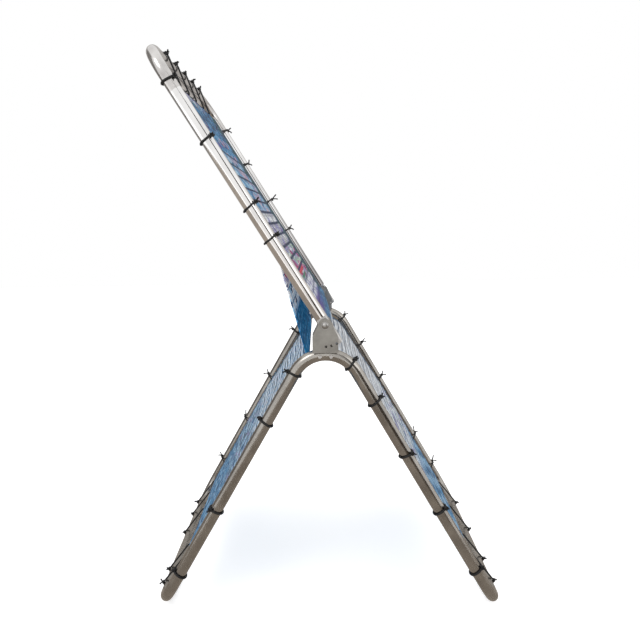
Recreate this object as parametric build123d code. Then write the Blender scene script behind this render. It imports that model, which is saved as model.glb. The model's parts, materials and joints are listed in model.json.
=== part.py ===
from build123d import *
import os
from math import acos, atan2, cos, degrees, radians, sin

# Free-standing tubular loom frame: an inverted V base on two bowed feet and a
# U-shaped arm that tilts on two hub bolts. Millimetres, +Z up, origin on the floor
# midway between the feet. "front" is the -Y side, "left" is the -X side.

# Tube frame
TUBE_D = 25.0
TUBE_WALL = 1.5
SIDE_SPACING = 530.0  # centre to centre of the front and back side tubes
ARCH_R = 70.0  # centreline radius of the bend at the top of the base
LEG_ANGLE = 30.0  # from vertical
LEG_LENGTH = 610.0  # end of the arch to the foot's unrounded corner
CORNER_R = 62.5  # centreline radius of the corners of the feet and of the arm's top
BOW_LEAD = 32.0  # straight end of each bow, before the seam with the side tube
SLEEVE_LENGTH = 60.0
SLEEVE_WALL = 1.5
SLIDE_GAP = 0.05

# Arm and hub
ARM_LEAN = 31.5  # from vertical, toward the left
ARM_LENGTH = 604.0  # pivot to the arm's unrounded top corner
PIVOT_RISE = 131.0  # pivot above the arch centre
ARM_TUBE_START = 15.5  # pivot to the open end of the arm tube
INDEX_R = 42.0  # index holes about the pivot
INDEX_D = 5.1
INDEX_STEP = 15.0
INDEX_COUNT = 3
PLATE_T = 3.0
PLATE_TOP_R = 13.0
PLATE_HALF_WIDTH = 25.0
PLATE_SHOULDER = 22.0  # the plate's full width starts this far below the pivot
PLATE_FOOT = 55.0  # the plate's lower edge below the pivot
PLATE_CORNER_R = 3.0
TONGUE_W = 23.0
TONGUE_GAP = 0.35  # between the tongue and each hub plate
TONGUE_END_R = 46.0
PLUG_DEPTH = 34.0
BOLT_D = 8.0
BUSH_WALL = 1.5
BOLT_HEAD_D = 14.0
BOLT_HEAD_T = 4.5
NUT_ACROSS = 13.0
NUT_T = 6.5
WASHER_D = 16.0
WASHER_T = 1.2
RIVET_D = 4.0
RIVET_HEAD_D = 7.0
RIVET_HEAD_T = 1.4
RIVET_ANGLE = 9.0  # rivets to either side of the arch's crown

# Textile and cords
PANEL_T = 5.0
EDGE_D = 4.0
EDGE_INSET = 24.0  # edge cord to side tube, centre to centre, across the frame
LEG_CORD_DROP = 10.0  # the cords round the arch lie this far inside the tubes
LEG_CORD_RISE = 200.0  # down the leg to where the cords have come up into the tubes' plane
TIE_D = 4.4
TIE_GAP = 0.1
CLOTH_GAP = 0.25
ARM_PANEL = (6.0, 549.0)  # from the pivot, along the arm
ARM_CORD_START = 24.0  # the arm's side edge cords stop short of the pivot nuts
FLAP_START = 180.0  # from the pivot to where the flap leaves the arm's panel
FLAP_CLEAR = 18.0  # along the flap, to clear the panel that it is sewn to
LEG_PANEL_END = 535.0  # from the end of the arch, down the leg
LEFT_PANEL_START = 35.0  # degrees from the arch's crown
RIGHT_PANEL_START = 24.0

# Ties: distances along a side tube (from the pivot up the arm, or from the end of the
# arch down a leg) and places across a bow, from the middle.
ARM_TIES = {"front": (194, 265, 408, 530), "back": (200, 291, 410, 512)}
LEFT_TIES = {"front": (4, 121, 343, 514), "back": (30, 185, 334, 485)}
RIGHT_TIES = {"front": (-19, 73, 202, 345, 505), "back": (-16, 77, 193, 403, 510)}
TOP_TIES = (-154, -77, 0, 77, 154)
LEFT_FOOT_TIES = (-185, -135, 26, 122, 190)
RIGHT_FOOT_TIES = (-178, -95, 37, 180)

TUBE_R = TUBE_D / 2
BORE_R = TUBE_R - TUBE_WALL
HALF = SIDE_SPACING / 2
TIE_R = TIE_D / 2
TIE_REACH = TUBE_R + TIE_GAP + TIE_D  # tube axis to the outside of a tie
FOOT_Z = TIE_REACH  # the feet stand on the ties round their cross tubes
ARCH_Z = FOOT_Z + LEG_LENGTH * cos(radians(LEG_ANGLE)) - ARCH_R * sin(radians(LEG_ANGLE))
PIVOT = Vector(0, 0, ARCH_Z + PIVOT_RISE)
ARM_UP = Vector(-sin(radians(ARM_LEAN)), 0, cos(radians(ARM_LEAN)))
EDGE_Y = HALF - EDGE_INSET
EDGE_PULL = EDGE_D / 2 + TIE_GAP + TIE_D + CLOTH_GAP  # edge cord's centre to the cloth
PANEL_Y = EDGE_Y - EDGE_PULL
CLOTH_ARCH_R = ARCH_R - LEG_CORD_DROP
SIDES = {"front": -1, "back": 1}
ACROSS = Vector(0, 1, 0)

os.makedirs("parts", exist_ok=True)


def save(name, *solids):
    """Write one node; several solids stay separate in it."""
    shape = solids[0] if len(solids) == 1 else Compound(children=list(solids))
    export_step(shape, f"parts/{name}.step")


def leg_down(side):
    """Direction down a leg; side is -1 for the left legs and 1 for the right ones."""
    return Vector(side * sin(radians(LEG_ANGLE)), 0, -cos(radians(LEG_ANGLE)))


def arch_point(angle, y, radius=ARCH_R):
    """A point at an angle from the arch's crown, positive to the right."""
    return Vector(radius * sin(radians(angle)), y, ARCH_Z + radius * cos(radians(angle)))


def leg_point(side, along, y):
    """A point on a leg's centreline; a negative distance lies back along the arch."""
    end_angle = 90 - LEG_ANGLE
    if along < 0:
        return arch_point(side * (end_angle + degrees(along / ARCH_R)), y)
    return arch_point(side * end_angle, y) + leg_down(side) * along


def leg_direction(side, along):
    if along < 0:
        angle = radians(90 - LEG_ANGLE + degrees(along / ARCH_R))
        return Vector(side * cos(angle), 0, -sin(angle))
    return leg_down(side)


def leg_normal(side, along):
    """Outward across a leg's plane, or out from the arch's centre."""
    down = leg_direction(side, along)
    return Vector(-side * down.Z, 0, side * down.X)


def leg_drop(along):
    """How far inside the tubes' plane a leg's edge cords lie."""
    return LEG_CORD_DROP * (1 - min(max(along, 0), LEG_CORD_RISE) / LEG_CORD_RISE)


def arm_point(along, y):
    return PIVOT + ARM_UP * along + ACROSS * y


def pipe(path, outer_r, inner_r=0.0):
    """A round tube or rod swept along a path."""
    ring = Circle(outer_r) if inner_r == 0 else Circle(outer_r) - Circle(inner_r)
    start = Plane(origin=path @ 0, z_dir=path % 0)
    return sweep(start * ring, path=path)


def rod(start, end, outer_r, inner_r=0.0):
    return pipe(Line(start, end), outer_r, inner_r)


def cross_rod(point, outer_r, y_from, y_to, inner_r=0.0):
    """A rod along Y through a point of the XZ plane."""
    return rod(Vector(point.X, y_from, point.Z), Vector(point.X, y_to, point.Z), outer_r, inner_r)


def bow(corner, inward):
    """A U bend: two leads, two rounded corners and the cross tube between them."""

    def at(y, along):
        return corner + ACROSS * y + inward * along

    lead = CORNER_R + BOW_LEAD
    bend = CORNER_R * (1 - cos(radians(45)))
    path = Wire(
        [
            Edge.make_line(at(-HALF, lead), at(-HALF, CORNER_R)),
            Edge.make_three_point_arc(
                at(-HALF, CORNER_R), at(-HALF + bend, bend), at(-HALF + CORNER_R, 0)
            ),
            Edge.make_line(at(-HALF + CORNER_R, 0), at(HALF - CORNER_R, 0)),
            Edge.make_three_point_arc(
                at(HALF - CORNER_R, 0), at(HALF - bend, bend), at(HALF, CORNER_R)
            ),
            Edge.make_line(at(HALF, CORNER_R), at(HALF, lead)),
        ]
    )
    return pipe(path, TUBE_R, BORE_R)


def base_side_tube(y):
    """One tube bent over the arch, down to the seams above the left and right feet."""
    run = LEG_LENGTH - CORNER_R - BOW_LEAD
    ends = [leg_point(side, run, y) for side in (-1, 1)]
    tops = [leg_point(side, 0, y) for side in (-1, 1)]
    path = Wire(
        [
            Edge.make_line(ends[0], tops[0]),
            Edge.make_three_point_arc(tops[0], arch_point(0, y), tops[1]),
            Edge.make_line(tops[1], ends[1]),
        ]
    )
    return pipe(path, TUBE_R, BORE_R)


def sleeve(centre, direction):
    """An inner sleeve that joins two tube ends."""
    half = direction * (SLEEVE_LENGTH / 2)
    outer = BORE_R - SLIDE_GAP
    return rod(centre - half, centre + half, outer, outer - SLEEVE_WALL)


def tie(centre, tangent, inward, reach):
    """A cord loop round the tube and round the panel's edge cord, reach mm away."""
    big = TUBE_R + TIE_GAP + TIE_R
    small = EDGE_D / 2 + TIE_GAP + TIE_R
    turn = acos((big - small) / reach)
    plane = Plane(origin=centre, x_dir=inward, z_dir=tangent)

    def at(offset, radius, angle):
        return plane.from_local_coords((offset + radius * cos(angle), radius * sin(angle)))

    loop = Wire(
        [
            Edge.make_three_point_arc(at(0, big, turn), at(0, -big, 0), at(0, big, -turn)),
            Edge.make_line(at(0, big, -turn), at(reach, small, -turn)),
            Edge.make_three_point_arc(
                at(reach, small, -turn), at(reach, small, 0), at(reach, small, turn)
            ),
            Edge.make_line(at(reach, small, turn), at(0, big, turn)),
        ]
    )
    return pipe(loop, TIE_R)


def arm_ties(places, y_side):
    """Ties along one side tube of the arm, each reaching across to the edge cord."""
    inward = ACROSS * -y_side
    return [tie(arm_point(p, y_side * HALF), ARM_UP, inward, EDGE_INSET) for p in places]


def leg_ties(places, side, y_side):
    """Ties along one leg, each reaching across and inward to the edge cord."""
    ties = []
    for place in places:
        reach = ACROSS * (-y_side * EDGE_INSET) - leg_normal(side, place) * leg_drop(place)
        centre = leg_point(side, place, y_side * HALF)
        ties.append(tie(centre, leg_direction(side, place), reach.normalized(), reach.length))
    return ties


def bow_ties(places, corner, reach):
    """Ties along a bow's cross tube; reach runs from its corner to the panel's end cord."""
    inward = reach.normalized()
    return [tie(corner + ACROSS * y, ACROSS, inward, reach.length) for y in places]


def cloth(points, thickness=PANEL_T):
    """A flat cloth through two points of the XZ plane, as wide as the panels."""
    start, end = points
    along = end - start
    mid = (start + end) * 0.5
    plane = Plane(origin=(mid.X, 0, mid.Z), x_dir=ACROSS, z_dir=along.cross(ACROSS))
    return extrude(plane * Rectangle(2 * PANEL_Y, along.length), thickness / 2, both=True)


def leg_cloth(side, start_angle, end):
    """A leg's panel: it follows the arch, comes up between the tubes and runs down the leg."""
    end_angle = 90 - LEG_ANGLE
    half_t = PANEL_T / 2
    first = start_angle + degrees(EDGE_PULL / CLOTH_ARCH_R)
    normal = leg_normal(side, end)
    bend = leg_point(side, LEG_CORD_RISE, 0)
    last = leg_point(side, end - EDGE_PULL, 0)

    def arc(radius):
        angles = [side * a for a in (first, (first + end_angle) / 2, end_angle)]
        return [arch_point(a, 0, radius) for a in angles]

    outer, inner = arc(CLOTH_ARCH_R + half_t), arc(CLOTH_ARCH_R - half_t)
    outline = Wire(
        [
            Edge.make_three_point_arc(*outer),
            Edge.make_line(outer[2], bend + normal * half_t),
            Edge.make_line(bend + normal * half_t, last + normal * half_t),
            Edge.make_line(last + normal * half_t, last - normal * half_t),
            Edge.make_line(last - normal * half_t, bend - normal * half_t),
            Edge.make_line(bend - normal * half_t, inner[2]),
            Edge.make_three_point_arc(inner[2], inner[1], inner[0]),
            Edge.make_line(inner[0], outer[0]),
        ]
    )
    return extrude(Face(outline), PANEL_Y, dir=(0, 1, 0), both=True)


def end_cord(point):
    """An edge cord across a panel's end, between the side cords."""
    reach = EDGE_Y - EDGE_D / 2 - CLOTH_GAP
    return cross_rod(point, EDGE_D / 2, -reach, reach)


def leg_edge_cords(side, start_angle, end):
    cords = []
    end_angle = 90 - LEG_ANGLE
    angles = [side * a for a in (start_angle, (start_angle + end_angle) / 2, end_angle)]
    for y in (-EDGE_Y, EDGE_Y):
        top, middle, bottom = [arch_point(a, y, CLOTH_ARCH_R) for a in angles]
        bend = leg_point(side, LEG_CORD_RISE, y)
        path = Wire(
            [
                Edge.make_three_point_arc(top, middle, bottom),
                Edge.make_line(bottom, bend),
                Edge.make_line(bend, leg_point(side, end, y)),
            ]
        )
        cords.append(pipe(path, EDGE_D / 2))
    top = arch_point(angles[0], 0, CLOTH_ARCH_R)
    return cords + [end_cord(top), end_cord(leg_point(side, end, 0))]


def arm_edge_cords():
    low, high = ARM_CORD_START, ARM_PANEL[1]
    sides = [rod(arm_point(low, y), arm_point(high, y), EDGE_D / 2) for y in (-EDGE_Y, EDGE_Y)]
    return sides + [end_cord(arm_point(high, 0))]


def index_point(angle):
    """An index hole's centre, at an angle from straight below the pivot to the right."""
    return PIVOT + Vector(sin(radians(angle)), 0, -cos(radians(angle))) * INDEX_R


def plate_outline():
    """A round top on the pivot, sloping shoulders, and straight sides down to the arch."""
    shoulder = Vector(PLATE_HALF_WIDTH, -PLATE_SHOULDER)
    slope = acos(PLATE_TOP_R / shoulder.length) - atan2(PLATE_SHOULDER, PLATE_HALF_WIDTH)
    top = Vector(PLATE_TOP_R * cos(slope), PLATE_TOP_R * sin(slope))
    right = [top, shoulder, Vector(PLATE_HALF_WIDTH, -PLATE_FOOT)]
    left = [Vector(-p.X, p.Y) for p in reversed(right)]
    edges = [Edge.make_line(a, b) for a, b in zip(right + left, (right + left)[1:])]
    edges.append(Edge.make_three_point_arc(left[-1], Vector(0, PLATE_TOP_R), right[0]))
    face = Face(Wire(edges))
    lower = face.vertices().filter_by(lambda v: v.Y < -PLATE_FOOT + 1)
    return face.fillet_2d(PLATE_CORNER_R, lower)


def hub_plate(y_inner, y_outer):
    """One hub plate between two Y positions, with its pivot, index and rivet holes."""
    low, high = sorted((y_inner, y_outer))
    plane = Plane(origin=(PIVOT.X, low, PIVOT.Z), x_dir=(1, 0, 0), z_dir=(0, -1, 0))
    plate = extrude(plane * plate_outline(), PLATE_T, dir=(0, 1, 0))
    low, high = low - 1, high + 1
    plate -= cross_rod(PIVOT, BOLT_D / 2 + SLIDE_GAP, low, high)
    for i in range(INDEX_COUNT):
        plate -= cross_rod(index_point(ARM_LEAN - i * INDEX_STEP), INDEX_D / 2, low, high)
    for angle in (-RIVET_ANGLE, RIVET_ANGLE):
        plate -= cross_rod(arch_point(angle, 0), RIVET_D / 2 + SLIDE_GAP, low, high)
    return plate


def arm_end(y):
    """The arm tube's end fitting: a plug in the tube and a tongue round the pivot bush."""
    tongue_half = TUBE_R - TONGUE_GAP
    plane = Plane(origin=arm_point(0, y), x_dir=ARM_UP, z_dir=ACROSS)
    blank = Rectangle(ARM_TUBE_START + TONGUE_END_R, TONGUE_W, align=(Align.MAX, Align.CENTER))
    outline = (Pos(ARM_TUBE_START, 0) * blank) & Circle(TONGUE_END_R)
    tongue = extrude(plane * outline, tongue_half, both=True)
    tongue &= rod(arm_point(-TONGUE_END_R - 1, y), arm_point(ARM_TUBE_START, y), TUBE_R + 3)
    plug_r = BORE_R - SLIDE_GAP
    plug = rod(arm_point(ARM_TUBE_START - 1, y), arm_point(ARM_TUBE_START + PLUG_DEPTH, y), plug_r)
    fitting = tongue + plug
    low, high = y - TUBE_R, y + TUBE_R
    fitting -= cross_rod(PIVOT, BOLT_D / 2 + SLIDE_GAP + BUSH_WALL, low, high)
    return fitting - cross_rod(index_point(ARM_LEAN), INDEX_D / 2, low, high)


def domed_head(y, outward, diameter, height):
    """A low domed head on a face at y, bulging outward along Y."""
    radius = (diameter**2 / 4 + height**2) / (2 * height)
    centre = y + outward * (height - radius)
    ball = Pos(PIVOT.X, centre, PIVOT.Z) * Sphere(radius)
    return ball & cross_rod(PIVOT, diameter, y, y + outward * (height + 1))


def pivot_bolt(side):
    """A domed bolt through both hub plates, its head outside and its thread inside."""
    y = side * HALF
    outside = y + side * (TUBE_R + PLATE_T + WASHER_T)
    thread_end = y - side * (TUBE_R + PLATE_T + WASHER_T + NUT_T + 2)
    shank = cross_rod(PIVOT, BOLT_D / 2, min(outside, thread_end), max(outside, thread_end))
    return domed_head(outside, side, BOLT_HEAD_D, BOLT_HEAD_T) + shank


def pivot_nut(side):
    y = side * (HALF - TUBE_R - PLATE_T - WASHER_T)
    plane = Plane(origin=(PIVOT.X, y, PIVOT.Z), x_dir=(1, 0, 0), z_dir=(0, -side, 0))
    hexagon = RegularPolygon(NUT_ACROSS / 2, 6, major_radius=False)
    nut = extrude(plane * (hexagon - Circle(BOLT_D / 2)), NUT_T)
    return nut


def pivot_washers(side):
    rings = []
    for face, outward in ((HALF + TUBE_R + PLATE_T, 1), (HALF - TUBE_R - PLATE_T, -1)):
        ends = sorted((side * face, side * (face + outward * WASHER_T)))
        rings.append(cross_rod(PIVOT, WASHER_D / 2, *ends, BOLT_D / 2 + SLIDE_GAP))
    return rings


def pivot_bush(side):
    reach = TUBE_R - TONGUE_GAP
    y = side * HALF
    outer = BOLT_D / 2 + SLIDE_GAP + BUSH_WALL
    return cross_rod(PIVOT, outer, y - reach, y + reach, BOLT_D / 2 + SLIDE_GAP)


def plate_rivets(side):
    """Two rivets through the hub plates and the arch tube between them."""
    rivets = []
    reach = TUBE_R + PLATE_T
    y = side * HALF
    for angle in (-RIVET_ANGLE, RIVET_ANGLE):
        at = arch_point(angle, 0)
        rivet = cross_rod(at, RIVET_D / 2, y - reach, y + reach)
        for way in (-1, 1):
            ends = sorted((y + way * reach, y + way * (reach + RIVET_HEAD_T)))
            rivet += cross_rod(at, RIVET_HEAD_D / 2, *ends)
        rivets.append(rivet)
    return rivets


def rivet_bores(y):
    reach = TUBE_R + 1
    return [
        cross_rod(arch_point(angle, 0), RIVET_D / 2 + SLIDE_GAP, y - reach, y + reach)
        for angle in (-RIVET_ANGLE, RIVET_ANGLE)
    ]


arm_corner = arm_point(ARM_LENGTH, 0)
seam = CORNER_R + BOW_LEAD
feet = {"left": -1, "right": 1}
leg_panels = {"left": LEFT_PANEL_START, "right": RIGHT_PANEL_START}
leg_tie_places = {"left": LEFT_TIES, "right": RIGHT_TIES}
foot_tie_places = {"left": LEFT_FOOT_TIES, "right": RIGHT_FOOT_TIES}

for name, side in SIDES.items():
    y = side * HALF
    tube = base_side_tube(y)
    for bore in rivet_bores(y):
        tube -= bore
    save(f"base_side_tube_{name}", tube)
    outer_face = side * (HALF + TUBE_R)
    inner_face = side * (HALF - TUBE_R)
    save(f"hub_plate_outer_{name}", hub_plate(outer_face, outer_face + side * PLATE_T))
    save(f"hub_plate_inner_{name}", hub_plate(inner_face, inner_face - side * PLATE_T))
    save(f"hub_rivets_{name}", *plate_rivets(side))
    save(f"pivot_bolt_{name}", pivot_bolt(side))
    save(f"pivot_nut_{name}", pivot_nut(side))
    save(f"pivot_washers_{name}", *pivot_washers(side))
    save(f"pivot_bush_{name}", pivot_bush(side))
    save(f"arm_end_fitting_{name}", arm_end(y))
    arm_tube = rod(arm_point(ARM_TUBE_START, y), arm_point(ARM_LENGTH - seam, y), TUBE_R, BORE_R)
    save(f"arm_side_tube_{name}", arm_tube)
    save(f"arm_ties_{name}", *arm_ties(ARM_TIES[name], side))

save("arm_top_bow", bow(arm_corner, -ARM_UP))
save("arm_sleeves", *[sleeve(arm_point(ARM_LENGTH - seam, y), ARM_UP) for y in (-HALF, HALF)])
save("arm_edge_cords", *arm_edge_cords())
save("arm_ties_top", *bow_ties(TOP_TIES, arm_corner, ARM_UP * (ARM_PANEL[1] - ARM_LENGTH)))
panel_ends = (ARM_PANEL[0], ARM_PANEL[1] - EDGE_PULL)
save("arm_panel", cloth([arm_point(along, 0) for along in panel_ends]))

sleeves = []
for name, side in feet.items():
    corner = leg_point(side, LEG_LENGTH, 0)
    up = -leg_down(side)
    save(f"foot_bow_{name}", bow(corner, up))
    sleeves += [sleeve(corner + up * seam + ACROSS * y, up) for y in (-HALF, HALF)]
    start = leg_panels[name]
    save(f"leg_panel_{name}", leg_cloth(side, start, LEG_PANEL_END))
    save(f"leg_edge_cords_{name}", *leg_edge_cords(side, start, LEG_PANEL_END))
    reach = up * (LEG_LENGTH - LEG_PANEL_END)
    save(f"foot_ties_{name}", *bow_ties(foot_tie_places[name], corner, reach))
    for row, y_side in SIDES.items():
        save(f"leg_ties_{name}_{row}", *leg_ties(leg_tie_places[name][row], side, y_side))
save("foot_sleeves", *sleeves)

# The flap from the arm's panel to the left leg's upper edge cord
flap_top = arm_point(FLAP_START, 0)
flap_foot = arch_point(-LEFT_PANEL_START, 0, CLOTH_ARCH_R)
flap_run = (flap_top - flap_foot).normalized()
save("hub_flap", cloth((flap_foot + flap_run * EDGE_PULL, flap_top - flap_run * FLAP_CLEAR)))

# The panel that carries the arm's cloth on, past the pivot, to the right leg's upper edge cord
panel_foot = arch_point(RIGHT_PANEL_START, 0, CLOTH_ARCH_R)
panel_run = (PIVOT - panel_foot).normalized()
save("hub_panel", cloth((panel_foot + panel_run * EDGE_PULL, PIVOT - panel_run * ARM_PANEL[0])))
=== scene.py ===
"""Looks of a free-standing tubular floor loom: polished tubes, laced woven cloth, cord ties."""

import json
import math
import random

import bpy
import numpy as np
from mathutils import Matrix, Vector


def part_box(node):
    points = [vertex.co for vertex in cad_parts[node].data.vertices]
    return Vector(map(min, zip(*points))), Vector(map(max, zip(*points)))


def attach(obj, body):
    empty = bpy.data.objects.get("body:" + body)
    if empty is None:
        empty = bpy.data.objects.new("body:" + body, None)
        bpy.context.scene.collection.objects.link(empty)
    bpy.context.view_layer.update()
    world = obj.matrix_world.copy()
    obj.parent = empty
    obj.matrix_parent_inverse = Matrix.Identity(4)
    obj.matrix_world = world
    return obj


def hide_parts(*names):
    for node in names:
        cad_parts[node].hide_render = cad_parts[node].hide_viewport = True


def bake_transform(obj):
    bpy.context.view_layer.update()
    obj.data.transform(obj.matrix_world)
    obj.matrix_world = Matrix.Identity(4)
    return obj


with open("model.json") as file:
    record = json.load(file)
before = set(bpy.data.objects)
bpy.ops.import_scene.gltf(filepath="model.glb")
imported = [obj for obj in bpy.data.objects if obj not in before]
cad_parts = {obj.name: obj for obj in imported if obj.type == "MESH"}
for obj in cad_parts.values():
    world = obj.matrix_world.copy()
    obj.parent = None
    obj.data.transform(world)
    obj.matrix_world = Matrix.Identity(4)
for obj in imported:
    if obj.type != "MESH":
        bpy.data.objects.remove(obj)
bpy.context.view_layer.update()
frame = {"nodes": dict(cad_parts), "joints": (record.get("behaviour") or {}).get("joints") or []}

# ---------------------------------------------------------------- sizes, in metres
MM = 0.001
LEG_ANGLE = math.radians(30)
ARCH_R = 70 * MM
ARM_PANEL = (20 * MM, 549 * MM)  # the arm's own cloth, from the pivot up the arm
ARM_CORD_START = 24 * MM
FLAP_START = 180 * MM  # from the pivot to where the flap leaves the arm's cloth
LEG_CORD_DROP = 10 * MM  # the cloth round the arch lies this far inside the tubes
LEG_CORD_RISE = 200 * MM  # down the leg to where it has come up into the tubes' plane
CLOTH_ARCH_R = ARCH_R - LEG_CORD_DROP
LEG_PANEL_END = 535 * MM  # from the end of the arch down a leg
PANEL_START = {-1: math.radians(35), 1: math.radians(24)}  # from the arch's crown
EDGE_INSET = 24 * MM
EDGE_R = 2.0 * MM
TIE_R = 2.1 * MM
TAIL_R = 1.7 * MM
RIB = 30 * MM  # one rib of cloth between two tuck lines
RIB_SWELL = 3.2 * MM
PICKS_PER_RIB = 7
ROWS_PER_PICK = 4
PICK_RELIEF = 0.75 * MM
COLUMNS = 150
WARP_PITCH = 9.5 * MM
CLOTH_HALF_T = 0.7 * MM
SAG = 1.6 * MM
DIP_FADE = 50 * MM  # how far into the cloth a drawn-in end reaches
DIP_MOST = 9 * MM
END_FADE = 6 * MM  # where the ribs flatten toward a cloth's ends
FLAP_LIFT = 2.5 * MM  # the flap leaves from the underside of the arm's cloth
CORD_STEP = 1.1 * MM
CORD_SIDES = 10
CORD_STRANDS = 3
CORD_LAY = 5.0 * MM
CORD_RELIEF = 0.13
KNOT_SIZE = 1.15 * MM
KNOT_STEP = 0.9 * MM
KNOT_LIFT = 1.6 * MM  # a knot's centre above the loop it closes
TAIL_LIFT = 1.5 * MM  # a tail's root above the knot's centre
KNOT_TURN = math.radians(62)  # round a side tube, from the side away from the cloth
TOP_KNOT_TURN, FOOT_KNOT_TURN = 1.2, 1.3  # the same on the bows, in radians
FRONT_TAILS = (5, 9)  # in millimetres; the front ties are trimmed close
BACK_TAILS = (10, 19)
LACE_TAILS = (5, 11)
TOP_SKEW, FOOT_SKEW = 6, 5  # millimetres a lacing's far end may stray along the bow

# ---------------------------------------------------------------- places, from the frame
PIVOT = np.array(frame["joints"][0]["pos_m"])
low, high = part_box("arm_side_tube_front")
TUBE_R = (high.y - low.y) / 2
HALF = -(high.y + low.y) / 2
middle = np.array((low + high) / 2)
ARM_UP = (middle - PIVOT) * (1, 0, 1)
ARM_UP /= np.linalg.norm(ARM_UP)
ARCH_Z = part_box("base_side_tube_front")[1].z - TUBE_R - ARCH_R
EDGE_Y = HALF - EDGE_INSET
ACROSS = np.array((0.0, 1.0, 0.0))


def box_corner(node, side):
    """The axis of a bow's cross tube in the XZ plane; side is -1 for the left."""
    lowest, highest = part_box(node)
    x = lowest.x + TUBE_R if side < 0 else highest.x - TUBE_R
    z = highest.z - TUBE_R if node.startswith("arm") else lowest.z + TUBE_R
    return np.array((x, 0.0, z))


def leg_down(side):
    return np.array((side * math.sin(LEG_ANGLE), 0.0, -math.cos(LEG_ANGLE)))


def leg_normal(side):
    """Outward from a leg's plane: up and away from the other leg."""
    return np.array((side * math.cos(LEG_ANGLE), 0.0, math.sin(LEG_ANGLE)))


def leg_axis(side, place):
    """A leg tube's axis at a distance down it: the point, the way out and the way down."""
    angle = (math.pi / 2 - LEG_ANGLE) + min(place, 0) / ARCH_R
    out = np.array((side * math.sin(angle), 0, math.cos(angle)))
    down = np.array((side * math.cos(angle), 0, -math.sin(angle)))
    return out * ARCH_R + (0, 0, ARCH_Z) + down * max(place, 0), out, down


def leg_origin(side):
    return leg_axis(side, 0.0)[0]


ARM_NORMAL = np.array((ARM_UP[2], 0.0, -ARM_UP[0]))


class Straight:
    """A cloth's path in the XZ plane through a few points; its normal points up and right."""

    def __init__(self, *points):
        self.points = np.array(points, float)
        steps = np.linalg.norm(np.diff(self.points, axis=0), axis=1)
        self.runs = np.concatenate([[0], np.cumsum(steps)])
        self.length = float(self.runs[-1])

    def place(self, v):
        return np.stack([np.interp(v, self.runs, self.points[:, i]) for i in range(3)], -1)

    def at(self, v):
        v = np.asarray(v, float)
        ease = 5 * MM  # the corners are eased over this distance to either side
        before, after = self.place(v - ease), self.place(v + ease)
        ahead = after - before
        ahead /= np.linalg.norm(ahead, axis=-1)[..., None]
        inside = (v > ease) & (v < self.length - ease)
        point = np.where(inside[..., None], (before + after) / 2, self.place(v))
        normal = np.stack([-ahead[..., 2], 0 * v, ahead[..., 0]], -1)
        return point, normal


def leg_drop(along):
    """How far inside the tubes' plane a leg's cloth lies."""
    return LEG_CORD_DROP * (1 - np.clip(along, 0, LEG_CORD_RISE) / LEG_CORD_RISE)


class LegPath:
    """A leg's cloth: round the arch, then down the leg as it comes up between the tubes."""

    def __init__(self, side):
        self.side = side
        self.turn = (math.pi / 2 - LEG_ANGLE) - PANEL_START[side]
        self.bend = self.turn * CLOTH_ARCH_R
        self.length = self.bend + LEG_PANEL_END

    def at(self, v):
        v = np.asarray(v, float)
        angle = PANEL_START[self.side] + np.clip(v, None, self.bend) / CLOTH_ARCH_R
        normal = np.stack([self.side * np.sin(angle), 0 * angle, np.cos(angle)], -1)
        point = normal * CLOTH_ARCH_R + (0, 0, ARCH_Z)
        beyond = np.clip(v - self.bend, 0, None)[..., None]
        rise = LEG_CORD_DROP - leg_drop(beyond)
        return point + beyond * leg_down(self.side) + rise * leg_normal(self.side), normal


arm_top = PIVOT + ARM_UP * ARM_PANEL[1]
arm_foot = PIVOT + ARM_UP * ARM_PANEL[0]
left_leg, right_leg = LegPath(-1), LegPath(1)
left_shoulder, right_shoulder = left_leg.at(0.0)[0], right_leg.at(0.0)[0]
flap_top = PIVOT + ARM_UP * FLAP_START - ARM_NORMAL * FLAP_LIFT
arm_path = Straight(arm_top, arm_foot)
flap_path = Straight(flap_top, left_shoulder)
hub_path = Straight(arm_foot, PIVOT, right_shoulder)


# ---------------------------------------------------------------- node helpers
def new_material(name):
    material = bpy.data.materials.new(name)
    material.use_nodes = True
    tree = material.node_tree
    return material, tree, tree.nodes["Principled BSDF"]


def add(tree, kind, **values):
    """A node with its inputs set by name; names with no input are its own settings."""
    node = tree.nodes.new(kind)
    for key, value in values.items():
        name = key.replace("_", " ")
        if name in node.inputs:
            node.inputs[name].default_value = value
        else:
            setattr(node, key, value)
    return node


def object_coordinates(tree, scale, turn=(0, 0, 0)):
    """Object coordinates, turned and then scaled, for a grain that runs one way."""
    where = tree.nodes.new("ShaderNodeTexCoord")
    turned = add(tree, "ShaderNodeMapping", vector_type="POINT")
    turned.inputs["Rotation"].default_value = turn
    scaled = add(tree, "ShaderNodeMapping", vector_type="POINT")
    scaled.inputs["Scale"].default_value = scale
    tree.links.new(where.outputs["Object"], turned.inputs["Vector"])
    tree.links.new(turned.outputs["Vector"], scaled.inputs["Vector"])
    return scaled.outputs["Vector"]


def noise(tree, vector, scale, detail=4.0, roughness=0.55):
    node = add(tree, "ShaderNodeTexNoise", Scale=scale, Detail=detail, Roughness=roughness)
    tree.links.new(vector, node.inputs["Vector"])
    return node.outputs["Fac"]


def ramp(tree, value, stops):
    node = tree.nodes.new("ShaderNodeValToRGB")
    elements = node.color_ramp.elements
    while len(elements) < len(stops):
        elements.new(0.5)
    for element, (place, colour) in zip(elements, stops):
        element.position = place
        element.color = (*colour, 1) if len(colour) == 3 else colour
    tree.links.new(value, node.inputs["Fac"])
    return node.outputs["Color"]


def grey(value):
    return (value, value, value)


def bump(tree, shader, height, strength, distance):
    node = add(tree, "ShaderNodeBump", Strength=strength, Distance=distance)
    tree.links.new(height, node.inputs["Height"])
    tree.links.new(node.outputs["Normal"], shader.inputs["Normal"])


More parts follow.
